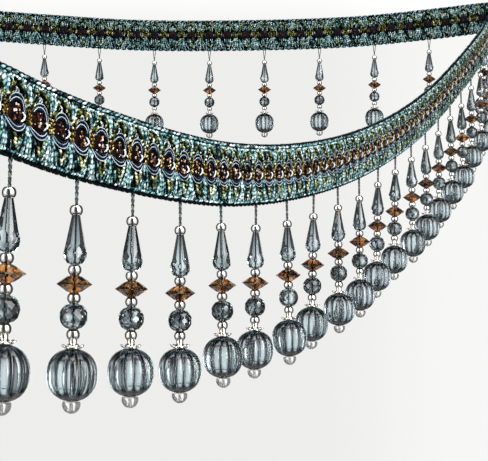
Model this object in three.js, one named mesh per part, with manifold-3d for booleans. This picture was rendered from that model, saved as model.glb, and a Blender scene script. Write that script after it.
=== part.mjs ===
// A beaded fringe trim: a decorative braid about 25 mm wide with a string of beads on every third
// medallion, hanging as one long hairpin. The back run hangs almost straight along X, the braid bends
// round at its right end, and the front run comes forward and down and then levels out.
// Millimetres, +Z up, +X right, +Y away. The origin is on the top edge, halfway along the back run.
import * as THREE from "three";
import { mergeVertices } from "three/addons/utils/BufferGeometryUtils.js";
import Module from "manifold-3d";

const wasm = await Module();
wasm.setup();

// Braid
const braidWidth = 24.5;
const medallionPitch = 15.47;
const edgeHalfThickness = 0.8;
const fieldHalfThickness = 0.95;
const medallionRise = 0.35;
const medallionMiddle = 13.0; // height of the medallions' centres above the bottom edge
const sectionHeights = [0, 6.5, medallionMiddle, 19.5, braidWidth];
const rowsPerMedallion = 2;
const curveDivisions = 2000; // for the lengths along the hanging line

// Drops
const medallionsPerDrop = 3;
const dropSpacing = medallionPitch * medallionsPerDrop;
const dropCount = 31;
const seatGap = 0.3; // from the braid's bottom edge to the top of the thread
const threadSpread = 2.5; // between the two strands where they leave the braid
const strandWidth = 0.55;
const strandSink = 1.3; // how far the strands reach down into the first bead
const latheSides = 6;
const mergeDistance = 1e-4;
const mmPerMetre = 1000;

// Beads. An outline gives the bead's widest points on the way down: how far down, as a share of its
// height, and how wide there, as a share of its diameter. Beads meet at a neck.
const neckRadius = 1.3;
const beads = {
  spacer: { diameter: 4.3, height: 3.3, outline: [{ down: 0.5, wide: 1 }] },
  teardrop: {
    diameter: 7.4,
    height: 15.2,
    outline: [
      { down: 0.4, wide: 0.68 },
      { down: 0.78, wide: 1 },
      { down: 0.94, wide: 0.82 },
    ],
  },
  bicone: { diameter: 11.5, height: 5.5, outline: [{ down: 0.5, wide: 1 }] },
  round: {
    diameter: 8.8,
    height: 8.0,
    outline: [
      { down: 0.16, wide: 0.74 },
      { down: 0.5, wide: 1 },
      { down: 0.84, wide: 0.74 },
    ],
  },
  cap: {
    diameter: 7.9,
    height: 2.6,
    outline: [
      { down: 0.6, wide: 1 },
      { down: 0.95, wide: 0.9 },
    ],
  },
  melon: {
    diameter: 16.0,
    height: 16.6,
    outline: [
      { down: 0.08, wide: 0.6 },
      { down: 0.24, wide: 0.88 },
      { down: 0.5, wide: 1 },
      { down: 0.76, wide: 0.9 },
      { down: 0.94, wide: 0.55 },
    ],
  },
  end: {
    diameter: 5.8,
    height: 3.8, // what shows below the melon bead
    outline: [
      { down: 0.28, wide: 1 },
      { down: 0.85, wide: 0.62 },
    ],
  },
};
const stringing = [
  "spacer", "teardrop", "spacer", "bicone", "spacer", "round", "spacer", "cap", "melon", "end",
];
const cappedBead = "melon"; // sits inside the rim of the cap above it, so it has no neck there

// The line that the drops hang from, which is the braid's bottom edge, from the front end to the back
// end. Each row is one station of the curve: x to the right, y away from the front, z up.
const hangLine = [
  { x: -73.2, y: -912.8, z: -152.8 },
  { x: -51.8, y: -846.9, z: -160.6 },
  { x: -9.1, y: -714.6, z: -166.6 },
  { x: 33.3, y: -582.2, z: -159.3 },
  { x: 75.1, y: -450.7, z: -141.4 },
  { x: 116.2, y: -320.8, z: -113.8 },
  { x: 156.5, y: -192.9, z: -76.6 },
  { x: 183.0, y: -108.8, z: -49.0 },
  { x: 196.6, y: -67.0, z: -34.0 },
  { x: 216.5, y: -38.5, z: -20.5 },
  { x: 224.0, y: -20.0, z: -13.2 },
  { x: 218.0, y: -4.0, z: -9.4 },
  { x: 203.0, y: 0.0, z: -9.8 },
  { x: 157.0, y: 0.0, z: -15.2 },
  { x: 92.0, y: 0.0, z: -21.4 },
  { x: 0.0, y: 0.0, z: -24.5 },
  { x: -92.0, y: 0.0, z: -24.2 },
  { x: -168.0, y: 0.0, z: -19.6 },
  { x: -237.0, y: 0.0, z: -14.4 },
];

// The front drops in order from the front end: the lean is how far a drop hangs out of plumb to the
// right, in mm for each metre of drop, and the thread is from the braid's edge to the first bead.
const frontDrops = [
  { lean: -37, thread: 9.0 },
  { lean: -26, thread: 8.5 },
  { lean: -14, thread: 8.5 },
  { lean: -3, thread: 9.5 },
  { lean: 14, thread: 7.5 },
  { lean: -10, thread: 9.0 },
  { lean: 19, thread: 9.5 },
  { lean: -16, thread: 9.5 },
  { lean: 12, thread: 9.5 },
  { lean: 9, thread: 10.0 },
  { lean: -14, thread: 8.5 },
  { lean: -12, thread: 8.0 },
  { lean: 20, thread: 8.0 },
  { lean: 21, thread: 8.5 },
  { lean: 15, thread: 8.5 },
  { lean: 28, thread: 8.0 },
  { lean: 30, thread: 9.0 },
  { lean: 18, thread: 6.0 },
  { lean: 19, thread: 6.0 },
];
const otherDrop = { lean: 0, thread: 9.5 };

const finishes = {
  braid: { color: 0x6f9aa0, roughness: 0.9, metalness: 0 },
  beads: { color: 0x6e8790, roughness: 0.15, metalness: 0 },
};

const up = new THREE.Vector3(0, 0, 1);
const curve = new THREE.CatmullRomCurve3(
  hangLine.map((station) => new THREE.Vector3(station.x, station.y, station.z)),
  false,
  "centripetal",
);
curve.arcLengthDivisions = curveDivisions;
const braidLength = dropSpacing * dropCount;
const curveLength = curve.getLength();

// The point at a distance along the hanging line, with the braid's own directions there: along it,
// up its face and square out of its face.
function frameAt(distance) {
  const t = Math.min(Math.max(distance / curveLength, 0), 1);
  const point = curve.getPointAt(t);
  const along = curve.getTangentAt(t).normalize();
  const upFace = up.clone().addScaledVector(along, -up.dot(along)).normalize();
  const outward = along.clone().cross(upFace);
  return { point, along, upFace, outward };
}

// Half the braid's thickness at a height above its bottom edge: thin edges, a fuller field, and a low
// mound on each medallion, whose strength is 1 at its centre and 0 halfway to the next.
function halfThickness(height, strength) {
  if (height <= 0 || height >= braidWidth) return edgeHalfThickness;
  const mound = height === medallionMiddle ? medallionRise * strength : 0;
  return fieldHalfThickness + mound;
}

// The braid's section as a closed loop: up the front face and down the back face.
function braidSection(strength) {
  const points = sectionHeights.map((height) => ({ height, out: halfThickness(height, strength) }));
  const front = points.map(({ height, out }) => ({ height, out: -out }));
  return [...front, ...points.reverse()];
}

// One closed strip swept along the hanging line, with flat cut ends.
function braidGeometry() {
  const rows = Math.round((braidLength / medallionPitch) * rowsPerMedallion);
  const positions = [];
  const indices = [];
  const around = braidSection(0).length;
  for (let row = 0; row <= rows; row += 1) {
    const frame = frameAt((row / rows) * braidLength);
    const strength = (row % rowsPerMedallion) / (rowsPerMedallion - 1);
    for (const { height, out } of braidSection(strength)) {
      const p = frame.point
        .clone()
        .addScaledVector(frame.upFace, height)
        .addScaledVector(frame.outward, out);
      positions.push(p.x, p.y, p.z);
    }
  }
  for (let row = 0; row < rows; row += 1) {
    for (let i = 0; i < around; i += 1) {
      const a = row * around + i;
      const b = row * around + ((i + 1) % around);
      indices.push(a, b, a + around, b, b + around, a + around);
    }
  }
  // The ends are closed by strips between the two faces.
  const last = rows * around;
  for (let i = 0; i < around / 2 - 1; i += 1) {
    const j = around - 1 - i;
    indices.push(i, j, i + 1, i + 1, j, j - 1);
    indices.push(last + i, last + i + 1, last + j, last + i + 1, last + j - 1, last + j);
  }
  const geometry = new THREE.BufferGeometry();
  geometry.setAttribute("position", new THREE.Float32BufferAttribute(positions, 3));
  geometry.setIndex(indices);
  geometry.computeVertexNormals();
  return geometry;
}

// The bead string's profile as (radius, height) points, from the top of the first bead, at height 0,
// to the bottom of the last.
function beadProfile() {
  const points = [new THREE.Vector2(0, 0)];
  let level = 0;
  for (const name of stringing) {
    const { diameter, height, outline } = beads[name];
    if (name !== cappedBead) points.push(new THREE.Vector2(neckRadius, level));
    for (const { down, wide } of outline) {
      points.push(new THREE.Vector2((diameter * wide) / 2, level - height * down));
    }
    level -= height;
  }
  points.push(new THREE.Vector2(0, level));
  return points;
}

// A closed geometry as a manifold-3d solid.
function solidOf(geometry) {
  geometry.deleteAttribute("normal");
  geometry.deleteAttribute("uv");
  const merged = mergeVertices(geometry, mergeDistance);
  const vertProperties = merged.getAttribute("position").array;
  const triVerts = new Uint32Array(merged.index.array);
  return new wasm.Manifold(new wasm.Mesh({ numProp: 3, vertProperties, triVerts }));
}

// A manifold-3d solid back as a geometry.
function geometryOf(solid) {
  const mesh = solid.getMesh();
  const geometry = new THREE.BufferGeometry();
  geometry.setAttribute("position", new THREE.BufferAttribute(mesh.vertProperties, 3));
  geometry.setIndex(new THREE.BufferAttribute(mesh.triVerts, 1));
  geometry.computeVertexNormals();
  return geometry;
}

const beadString = solidOf(
  new THREE.LatheGeometry(beadProfile().reverse(), latheSides).rotateX(Math.PI / 2),
);

// One strand of the thread, from its place under the braid down into the first bead. Heights are
// above the top of the first bead.
function strandSolid(side, topHeight) {
  const top = new THREE.Vector3((side * threadSpread) / 2, 0, topHeight);
  const bottom = new THREE.Vector3((side * strandWidth) / 2, 0, -strandSink);
  const strand = new THREE.BoxGeometry(strandWidth, strandWidth, 1);
  const position = strand.getAttribute("position");
  for (let i = 0; i < position.count; i += 1) {
    const end = position.getZ(i) > 0 ? top : bottom;
    position.setXYZ(i, position.getX(i) + end.x, position.getY(i) + end.y, end.z);
  }
  return solidOf(strand);
}

// The bead string with its thread. The slope is the braid's rise for each mm along it, so that both
// strands reach up to the same gap under the edge.
function dropGeometry(slope, thread) {
  let solid = beadString;
  for (const side of [-1, 1]) {
    const topHeight = thread + (side * threadSpread * slope) / 2 - seatGap;
    solid = solid.add(strandSolid(side, topHeight));
  }
  return geometryOf(solid).translate(0, 0, -thread);
}

const braidMaterial = new THREE.MeshStandardMaterial(finishes.braid);
const beadMaterial = new THREE.MeshStandardMaterial(finishes.beads);

const trim = new THREE.Group();
const braid = new THREE.Mesh(braidGeometry(), braidMaterial);
braid.name = "braid";
trim.add(braid);

for (let i = 0; i < dropCount; i += 1) {
  const { point, along } = frameAt((i + 0.5) * dropSpacing);
  const { lean, thread } = frontDrops[i] ?? otherDrop;
  const slope = along.z / Math.hypot(along.x, along.y);
  const drop = new THREE.Mesh(dropGeometry(slope, thread), beadMaterial);
  drop.name = `bead_drop_${String(i + 1).padStart(2, "0")}`;
  drop.position.copy(point);
  drop.rotation.order = "YXZ";
  drop.rotation.set(0, -lean / mmPerMetre, Math.atan2(along.y, along.x));
  trim.add(drop);
}

export default trim;
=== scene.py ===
import math

import bpy
import numpy as np
from mathutils import Matrix, Vector


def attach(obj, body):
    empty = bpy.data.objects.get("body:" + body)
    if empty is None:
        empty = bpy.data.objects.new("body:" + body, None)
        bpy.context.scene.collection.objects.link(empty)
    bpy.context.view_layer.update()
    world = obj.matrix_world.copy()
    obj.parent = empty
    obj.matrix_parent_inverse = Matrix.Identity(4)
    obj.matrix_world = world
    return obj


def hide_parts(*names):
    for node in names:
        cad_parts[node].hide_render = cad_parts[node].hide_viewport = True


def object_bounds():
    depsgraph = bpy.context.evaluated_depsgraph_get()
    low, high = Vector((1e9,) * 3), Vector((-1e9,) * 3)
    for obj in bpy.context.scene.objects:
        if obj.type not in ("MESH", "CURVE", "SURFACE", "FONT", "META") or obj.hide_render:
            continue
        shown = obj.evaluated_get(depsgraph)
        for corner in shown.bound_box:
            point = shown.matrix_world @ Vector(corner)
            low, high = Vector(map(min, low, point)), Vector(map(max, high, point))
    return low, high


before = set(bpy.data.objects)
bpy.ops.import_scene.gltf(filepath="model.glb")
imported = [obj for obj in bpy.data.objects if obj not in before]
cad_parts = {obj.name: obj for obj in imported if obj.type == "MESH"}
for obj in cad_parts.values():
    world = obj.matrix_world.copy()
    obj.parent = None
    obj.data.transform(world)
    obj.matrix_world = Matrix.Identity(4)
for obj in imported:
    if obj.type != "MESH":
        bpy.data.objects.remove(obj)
cadLow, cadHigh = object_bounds()
print("frame loaded:", len(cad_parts), "nodes")

# Shapes are worked out in millimetres and turned to metres as each mesh is made.
mm = 0.001
chance = np.random.default_rng(11)

trim = {
    "braidWidth": 24.5,
    "medallionPitch": 15.47,
    "medallionsPerDrop": 3,
    "dropCount": 31,
}
trim["dropSpacing"] = trim["medallionPitch"] * trim["medallionsPerDrop"]
trim["braidLength"] = trim["dropSpacing"] * trim["dropCount"]
trim["medallionCount"] = trim["medallionsPerDrop"] * trim["dropCount"]

# The braid's bottom edge from the front end to the back end: x to the right, y away, z up
hangLine = [
    (-73.2, -912.8, -152.8),
    (-51.8, -846.9, -160.6),
    (-9.1, -714.6, -166.6),
    (33.3, -582.2, -159.3),
    (75.1, -450.7, -141.4),
    (116.2, -320.8, -113.8),
    (156.5, -192.9, -76.6),
    (183.0, -108.8, -49.0),
    (196.6, -67.0, -34.0),
    (216.5, -38.5, -20.5),
    (224.0, -20.0, -13.2),
    (218.0, -4.0, -9.4),
    (203.0, 0.0, -9.8),
    (157.0, 0.0, -15.2),
    (92.0, 0.0, -21.4),
    (0.0, 0.0, -24.5),
    (-92.0, 0.0, -24.2),
    (-168.0, 0.0, -19.6),
    (-237.0, 0.0, -14.4),
]

# The front drops from the front end: how far each hangs out of plumb, in mm for a metre, and its thread
frontDrops = [
    (-37, 9.0), (-26, 8.5), (-14, 8.5), (-3, 9.5), (14, 7.5), (-10, 9.0), (19, 9.5), (-16, 9.5),
    (12, 9.5), (9, 10.0), (-14, 8.5), (-12, 8.0), (20, 8.0), (21, 8.5), (15, 8.5), (28, 8.0),
    (30, 9.0), (18, 6.0), (19, 6.0),
]
otherDrop = (0, 9.5)


def unit(rows):
    return rows / np.linalg.norm(rows, axis=-1, keepdims=True)


# Points along a centripetal spline through the stations, the curve that the solids follow
def splinePoints(stations, perSpan):
    p = np.array(stations, float)
    p = np.vstack([2 * p[0] - p[1], p, 2 * p[-1] - p[-2]])
    t = np.linspace(0, 1, perSpan, endpoint=False)[:, None]
    spans = []
    for i in range(1, len(p) - 2):
        a, b, c, d = p[i - 1 : i + 3]
        ab, bc, cd = [np.linalg.norm(n - m) ** 0.5 for m, n in ((a, b), (b, c), (c, d))]
        leave = ((b - a) / ab - (c - a) / (ab + bc) + (c - b) / bc) * bc
        arrive = ((c - b) / bc - (d - b) / (bc + cd) + (d - c) / cd) * bc
        square = 3 * (c - b) - 2 * leave - arrive
        cube = 2 * (b - c) + leave + arrive
        spans.append(b + leave * t + square * t**2 + cube * t**3)
    return np.vstack([*spans, p[-2]])


lineRows = splinePoints(hangLine, 100)
lineLengths = np.concatenate([[0], np.cumsum(np.linalg.norm(np.diff(lineRows, axis=0), axis=1))])
alongRows = unit(np.gradient(lineRows, lineLengths, axis=0))
upRows = unit(np.array([0, 0, 1]) - alongRows[:, 2:3] * alongRows)
outRows = np.cross(alongRows, upRows)


def atLength(rows, lengths):
    return np.stack([np.interp(lengths, lineLengths, rows[:, k]) for k in range(3)], -1)


# Points given flat, as (length along the braid, height, out of its face), laid onto the hanging braid
def onBraid(flat):
    lengths = flat[..., 0]
    hung = atLength(lineRows, lengths)
    return hung + atLength(upRows, lengths) * flat[..., 1:2] + atLength(outRows, lengths) * flat[..., 2:3]


# Smooth paths through control points, for many like paths at once: (count, controls, 3) goes in and
# (count, stations, 3) comes out
def smoothPaths(controls, stations):
    count = controls.shape[1]
    ends = [2 * controls[:, :1] - controls[:, 1:2], controls, 2 * controls[:, -1:] - controls[:, -2:-1]]
    p = np.concatenate(ends, axis=1)
    where = np.linspace(0, count - 1, stations)
    i = np.minimum(where.astype(int), count - 2)
    t = (where - i)[None, :, None]
    a, b, c, d = p[:, i], p[:, i + 1], p[:, i + 2], p[:, i + 3]
    return 0.5 * (2 * b + (c - a) * t + (2 * a - 5 * b + 4 * c - d) * t**2 + (3 * b - a - 3 * c + d) * t**3)


# The quads between rings of numbered corners: (..., rings, corners round each)
def ringQuads(number):
    following = np.roll(number, -1, axis=-1)
    return np.stack([
        number[..., :-1, :], following[..., :-1, :], following[..., 1:, :], number[..., 1:, :],
    ], -1).reshape(-1, 4)


# Closed tubes round many like paths. Returns the corners, the faces, each corner's dye and each loop's lay,
# which is how far it is along the yarn in mm and how far round.
def tubes(paths, radii, sides, dye):
    count, stations = paths.shape[:2]
    ahead = unit(np.gradient(paths, axis=1))
    beside = unit(np.cross(ahead, np.array([0.0, 0.0, 1.0])))
    lifted = np.cross(beside, ahead)
    turn = 2 * math.pi * np.arange(sides) / sides + math.pi / 2  # the first corner is uppermost
    ring = np.cos(turn)[:, None] * beside[:, :, None] + np.sin(turn)[:, None] * lifted[:, :, None]
    radii = np.broadcast_to(radii, (count, stations))
    corners = paths[:, :, None] + radii[:, :, None, None] * ring
    number = np.arange(count * stations * sides).reshape(count, stations, sides)
    quads = ringQuads(number)
    steps = np.linalg.norm(np.diff(paths, axis=1), axis=2)
    far = np.concatenate([np.zeros((count, 1)), np.cumsum(steps, axis=1)], axis=1)
    u = np.broadcast_to(far[:, :, None], number.shape)
    v = np.broadcast_to(np.arange(sides) / sides, number.shape)
    lay = np.stack([
        np.stack([u[:, :-1], v[:, :-1]], -1),
        np.stack([u[:, :-1], v[:, :-1] + 1 / sides], -1),
        np.stack([u[:, 1:], v[:, 1:] + 1 / sides], -1),
        np.stack([u[:, 1:], v[:, 1:]], -1),
    ], -2).reshape(-1, 2)
    caps = np.concatenate([number[:, 0, ::-1], number[:, -1]])
    capLay = np.zeros((caps.size, 2))
    dye = np.broadcast_to(np.asarray(dye, float).reshape(-1, 1), (count, stations * sides)).ravel()
    return {
        "corners": corners.reshape(-1, 3),
        "faces": quads.tolist() + caps.tolist(),
        "dye": dye,
        "lay": np.vstack([lay, capLay]),
    }


# A sheet of quads on a grid of points, for many like grids: (count, rows, columns, 3)
def grids(points, dye):
    count, rows, columns = points.shape[:3]
    number = np.arange(count * rows * columns).reshape(count, rows, columns)
    quads = np.stack([
        number[:, :-1, :-1], number[:, :-1, 1:], number[:, 1:, 1:], number[:, 1:, :-1],
    ], -1).reshape(-1, 4)
    dye = np.broadcast_to(np.asarray(dye, float).reshape(-1, 1), (count, rows * columns)).ravel()
    return {
        "corners": points.reshape(-1, 3),
        "faces": quads.tolist(),
        "dye": dye,
        "lay": np.zeros((quads.size, 2)),
    }


def joined(parts):
    faces = []
    start = 0
    for part in parts:
        faces += [[corner + start for corner in face] for face in part["faces"]]
        start += len(part["corners"])
    together = {key: np.concatenate([part[key] for part in parts]) for key in ("corners", "dye", "lay")}
    return {**together, "faces": faces}


# Flat work put on the braid's other face by half a turn about the upright at the middle of its length
def otherFace(part):
    corners = part["corners"] * np.array([-1, 1, -1]) + np.array([trim["braidLength"], 0, 0])
    return {**part, "corners": corners}


def meshOf(name, part, material, smooth=True):
    mesh = bpy.data.meshes.new(name)
    mesh.from_pydata((part["corners"] * mm).tolist(), [], part["faces"])
    if "dye" in part:
        mesh.attributes.new("dye", "FLOAT", "POINT").data.foreach_set("value", part["dye"].astype(np.float32))
    if "lay" in part:
        mesh.uv_layers.new(name="lay").data.foreach_set("uv", part["lay"].astype(np.float32).ravel())
    for one in material if isinstance(material, list) else [material]:
        mesh.materials.append(one)
    if smooth:
        mesh.shade_smooth()
    mesh.update()
    return mesh


def placed(mesh, name, slotName):
    piece = bpy.data.objects.new(name, mesh)
    bpy.context.scene.collection.objects.link(piece)
    return piece


# Materials

def linear(hexValue):
    parts = [int(hexValue[i : i + 2], 16) / 255 for i in (1, 3, 5)]
    return tuple(c / 12.92 if c <= 0.04045 else ((c + 0.055) / 1.055) ** 2.4 for c in parts) + (1.0,)


# Adds a node with its settings. An input is a value or the socket that feeds it.
def addNode(tree, kind, inputs=None, **settings):
    node = tree.nodes.new(kind)
    for name, value in settings.items():
        setattr(node, name, value)
    for name, value in (inputs or {}).items():
        if isinstance(value, bpy.types.NodeSocket):
            tree.links.new(value, node.inputs[name])
        else:
            node.inputs[name].default_value = value
    return node


def startMaterial(name):
    material = bpy.data.materials.new(name)
    material.use_nodes = True
    material.node_tree.nodes.clear()
    return material, material.node_tree


def rampStops(node, stops):
    ramp = node.color_ramp
    for i, (place, colour) in enumerate(stops):
        stop = ramp.elements[i] if i < 2 else ramp.elements.new(place)
        stop.position = place
        stop.color = linear(colour)


# Plied yarn: a value per corner picks the dyed tone of each yarn, flecks vary it along its length and the lay of
# the plies makes fine slanting grooves, bumped and darkened with painted shade. plyPitch is the length of one
# turn of the twist in mm. The twist and the flecks are coarser than real ones, so that they show.
yarnFinish = {
    "fleckLength": 2.5,  # mm
    "grooveEnd": 0.6,  # how far up a ply the painted shade of its groove reaches
    "grooveDepth": 0.15,  # mm
    "grooveStrength": 0.8,
    "fleckApart": 60.0,  # sets the flecks of yarns of different shades apart
    "specular": 0.06,
}


def pliedYarn(name, shades, plyPitch, roughness, metallic=0.0, fleck=1.5, paintedGrooveShade=0.7):
    material, tree = startMaterial(name)
    dye = addNode(tree, "ShaderNodeAttribute", attribute_name="dye")
    lay = addNode(tree, "ShaderNodeUVMap", uv_map="lay")
    turns = addNode(tree, "ShaderNodeMapping", {"Vector": lay.outputs["UV"], "Scale": (1 / plyPitch, 1, 1)})
    fullTurn = 2 * math.pi / 10  # a band's period is one unit at this scale
    plies = addNode(tree, "ShaderNodeTexWave", {"Vector": turns.outputs["Vector"], "Scale": fullTurn},
                    wave_type="BANDS", bands_direction="DIAGONAL")
    layParts = addNode(tree, "ShaderNodeSeparateXYZ", {"Vector": lay.outputs["UV"]})
    along = addNode(tree, "ShaderNodeMath", {0: layParts.outputs["X"], 1: 1 / yarnFinish["fleckLength"]},
                    operation="MULTIPLY")
    apart = addNode(tree, "ShaderNodeMath", {0: dye.outputs["Fac"], 1: yarnFinish["fleckApart"]},
                    operation="MULTIPLY")
    onYarn = addNode(tree, "ShaderNodeCombineXYZ", {"X": along.outputs[0], "Y": apart.outputs[0]})
    flecks = addNode(tree, "ShaderNodeTexNoise", {"Vector": onYarn.outputs[0], "Scale": 1.0, "Detail": 2.0})
    spread = addNode(tree, "ShaderNodeMapRange", {
        "Value": flecks.outputs["Fac"], "To Min": -fleck / 2, "To Max": fleck / 2})
    shade = addNode(tree, "ShaderNodeMath", {0: spread.outputs["Result"], 1: dye.outputs["Fac"]},
                    operation="ADD")
    ramp = addNode(tree, "ShaderNodeValToRGB", {"Fac": shade.outputs[0]})
    rampStops(ramp, [(i / (len(shades) - 1), colour) for i, colour in enumerate(shades)])
    # painted shade in the grooves between the plies
    grooveShading = addNode(tree, "ShaderNodeMapRange", {
        "Value": plies.outputs["Fac"], "From Min": 0.0, "From Max": yarnFinish["grooveEnd"],
        "To Min": 1 - paintedGrooveShade, "To Max": 1.0})
    dyedAndShaded = addNode(tree, "ShaderNodeMix", {
        "Factor": 1.0, 6: ramp.outputs["Color"], 7: grooveShading.outputs["Result"]},
        data_type="RGBA", blend_type="MULTIPLY")
    bump = addNode(tree, "ShaderNodeBump", {
        "Strength": yarnFinish["grooveStrength"], "Distance": yarnFinish["grooveDepth"] * mm,
        "Height": plies.outputs["Fac"]})
    shader = addNode(tree, "ShaderNodeBsdfPrincipled", {
        "Base Color": dyedAndShaded.outputs[2], "Roughness": roughness, "Metallic": metallic,
        "Specular IOR Level": yarnFinish["specular"], "Normal": bump.outputs["Normal"]})
    addNode(tree, "ShaderNodeOutputMaterial", {"Surface": shader.outputs[0]})
    return material


# Viscose rayon, plied and silky: soft highlights along each yarn, from nearly black teal to ice aqua
aquaRayon = pliedYarn("aquaRayon", ["#010304", "#0B2225", "#669A9B", "#B5D6D6", "#EEF9F7"], 1.6, 0.4,
                      fleck=2.8, paintedGrooveShade=0.85)
# Rayon plied with a flat gilt thread: dull olive with brassy glints
oliveRayon = pliedYarn("oliveRayon", ["#030401", "#171C0B", "#5A6630", "#A9A65E", "#F2EBC0"], 1.4, 0.4,
                       metallic=0.1, fleck=2.4, paintedGrooveShade=0.8)
# Gilt thread, metallised film wound on a core: brass yellow with dark gaps
giltThread = pliedYarn("giltThread", ["#050401", "#3E300D", "#A98C38", "#F2E3A2"], 1.2, 0.34,
                       metallic=0.3, fleck=2.4)
# Hard gimp cord, rayon wound on a core: close fine rings, navy
navyGimp = pliedYarn("navyGimp", ["#010307", "#050D18", "#10253A"], 0.7, 0.45, paintedGrooveShade=0.3)
# The same cord in undyed white with a blue cast
iceGimp = pliedYarn("iceGimp", ["#3F5872", "#B9CEDE", "#F4F9FC"], 0.7, 0.45, fleck=1.1, paintedGrooveShade=0.3)
# Polyester edge cord, two plies in navy black
edgeCord = pliedYarn("edgeCord", ["#010204", "#050D12", "#15333C"], 1.2, 0.5)


# Polyester satin ribbon, puffed out between the cords: dark maroon with a soft gloss
def satinRibbon():
    material, tree = startMaterial("maroonSatin")
    place = addNode(tree, "ShaderNodeTexCoord")
    # ribs of thread 1 mm apart, coarser than real ones so that they show
    threads = addNode(tree, "ShaderNodeTexWave", {
        "Vector": place.outputs["Object"], "Scale": 0.3 / mm, "Distortion": 2.0},
        wave_type="BANDS", bands_direction="Z")
    clouds = addNode(tree, "ShaderNodeTexNoise", {
        "Vector": place.outputs["Object"], "Scale": 0.6 / mm, "Detail": 3.0})
    ramp = addNode(tree, "ShaderNodeValToRGB", {"Fac": clouds.outputs["Fac"]})
    rampStops(ramp, [(0.4, "#020001"), (0.6, "#120404"), (0.78, "#301009")])
    bump = addNode(tree, "ShaderNodeBump", {
        "Strength": 0.4, "Distance": 0.1 * mm, "Height": threads.outputs["Fac"]})
    shader = addNode(tree, "ShaderNodeBsdfPrincipled", {
        "Base Color": ramp.outputs["Color"], "Roughness": 0.5, "Specular IOR Level": 0.08,
        "Normal": bump.outputs["Normal"]})
    addNode(tree, "ShaderNodeOutputMaterial", {"Surface": shader.outputs[0]})
    return material


# Metallised film glitter: tiny mirror flakes from copper to pale rose
def filmGlitter():
    material, tree = startMaterial("copperGlitter")
    dye = addNode(tree, "ShaderNodeAttribute", attribute_name="dye")
    ramp = addNode(tree, "ShaderNodeValToRGB", {"Fac": dye.outputs["Fac"]})
    rampStops(ramp, [(0.0, "#2C0906"), (0.4, "#864022"), (0.65, "#E9BE9C"), (0.85, "#FFF8F2")])
    shader = addNode(tree, "ShaderNodeBsdfPrincipled", {
        "Base Color": ramp.outputs["Color"], "Metallic": 0.5, "Roughness": 0.35})
    addNode(tree, "ShaderNodeOutputMaterial", {"Surface": shader.outputs[0]})
    return material


# Cotton ground, woven in fine upright ribs; its nearly black colour is painted shade, so the gaps between the
# yarns stay deep
def wovenGround():
    material, tree = startMaterial("cottonGroundInPaintedShade")
    lay = addNode(tree, "ShaderNodeUVMap", uv_map="lay")
    ribPitch = 0.8  # mm between ribs
    oneRib = 2 * math.pi / 20 / ribPitch  # a band's period is one rib at this scale
    ribs = addNode(tree, "ShaderNodeTexWave", {"Vector": lay.outputs["UV"], "Scale": oneRib},
                   wave_type="BANDS", bands_direction="X")
    picks = addNode(tree, "ShaderNodeTexWave", {"Vector": lay.outputs["UV"], "Scale": oneRib * 1.6},
                    wave_type="BANDS", bands_direction="Y")
    weave = addNode(tree, "ShaderNodeMath", {0: ribs.outputs["Fac"], 1: picks.outputs["Fac"]},
                    operation="MULTIPLY")
    ramp = addNode(tree, "ShaderNodeValToRGB", {"Fac": weave.outputs[0]})
    rampStops(ramp, [(0.0, "#010304"), (1.0, "#08181D")])
    bump = addNode(tree, "ShaderNodeBump", {"Strength": 0.8, "Distance": 0.2 * mm, "Height": weave.outputs[0]})
    shader = addNode(tree, "ShaderNodeBsdfPrincipled", {
        "Base Color": ramp.outputs["Color"], "Roughness": 0.85, "Specular IOR Level": 0.0,
        "Normal": bump.outputs["Normal"]})
    addNode(tree, "ShaderNodeOutputMaterial", {"Surface": shader.outputs[0]})
    return material


# Moulded acrylic, clear and tinted: bends light like real acrylic, with faint flow marks 4 mm across. Each
# corner's value is 1 on the clear body and falls to 0 where painted shade darkens the tint to the first colour.
def mouldedAcrylic(name, paintedShade, tint, roughness=0.04, transmission=1.0):
    material, tree = startMaterial(name)
    place = addNode(tree, "ShaderNodeTexCoord")
    flow = addNode(tree, "ShaderNodeTexNoise", {
        "Vector": place.outputs["Object"], "Scale": 0.25 / mm, "Detail": 1.0})
    bump = addNode(tree, "ShaderNodeBump", {
        "Strength": 0.05, "Distance": 0.2 * mm, "Height": flow.outputs["Fac"]})
    dye = addNode(tree, "ShaderNodeAttribute", attribute_name="dye")
    ramp = addNode(tree, "ShaderNodeValToRGB", {"Fac": dye.outputs["Fac"]})
    rampStops(ramp, [(0.0, paintedShade), (1.0, tint)])
    shader = addNode(tree, "ShaderNodeBsdfPrincipled", {
        "Base Color": ramp.outputs["Color"], "Roughness": roughness, "IOR": 1.49,
        "Transmission Weight": transmission, "Normal": bump.outputs["Normal"]})
    addNode(tree, "ShaderNodeOutputMaterial", {"Surface": shader.outputs[0]})
    return material


# The first colour of each acrylic is painted shade, the second its clear tint
smokeAcrylic = mouldedAcrylic("smokeBlueAcrylic", "#040C11", "#C8D9DE")
amberAcrylic = mouldedAcrylic("amberAcrylic", "#100502", "#D28F50")
# The end beads are a milky clear
clearAcrylic = mouldedAcrylic("clearAcrylic", "#DCDCDA", "#FBFBFA", roughness=0.1, transmission=0.88)


# Silver-plated brass, barrel polished: a bright mirror, a little uneven where the plating has dulled
def silverPlate():
    material, tree = startMaterial("silverPlatedBrass")
    place = addNode(tree, "ShaderNodeTexCoord")
    dull = addNode(tree, "ShaderNodeTexNoise", {
        "Vector": place.outputs["Object"], "Scale": 0.8 / mm, "Detail": 2.0})
    rough = addNode(tree, "ShaderNodeMapRange", {
        "Value": dull.outputs["Fac"], "To Min": 0.05, "To Max": 0.16})
    shader = addNode(tree, "ShaderNodeBsdfPrincipled", {
        "Base Color": linear("#E4E1DC"), "Metallic": 1.0, "Roughness": rough.outputs["Result"]})
    addNode(tree, "ShaderNodeOutputMaterial", {"Surface": shader.outputs[0]})
    return material


silver = silverPlate()
# Polyester beading thread, two plies in slate grey
beadingThread = pliedYarn("greyBeadingThread", ["#15191A", "#4A5153", "#949C9D"], 1.8, 0.6, fleck=0.8)
print("materials made")

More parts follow.
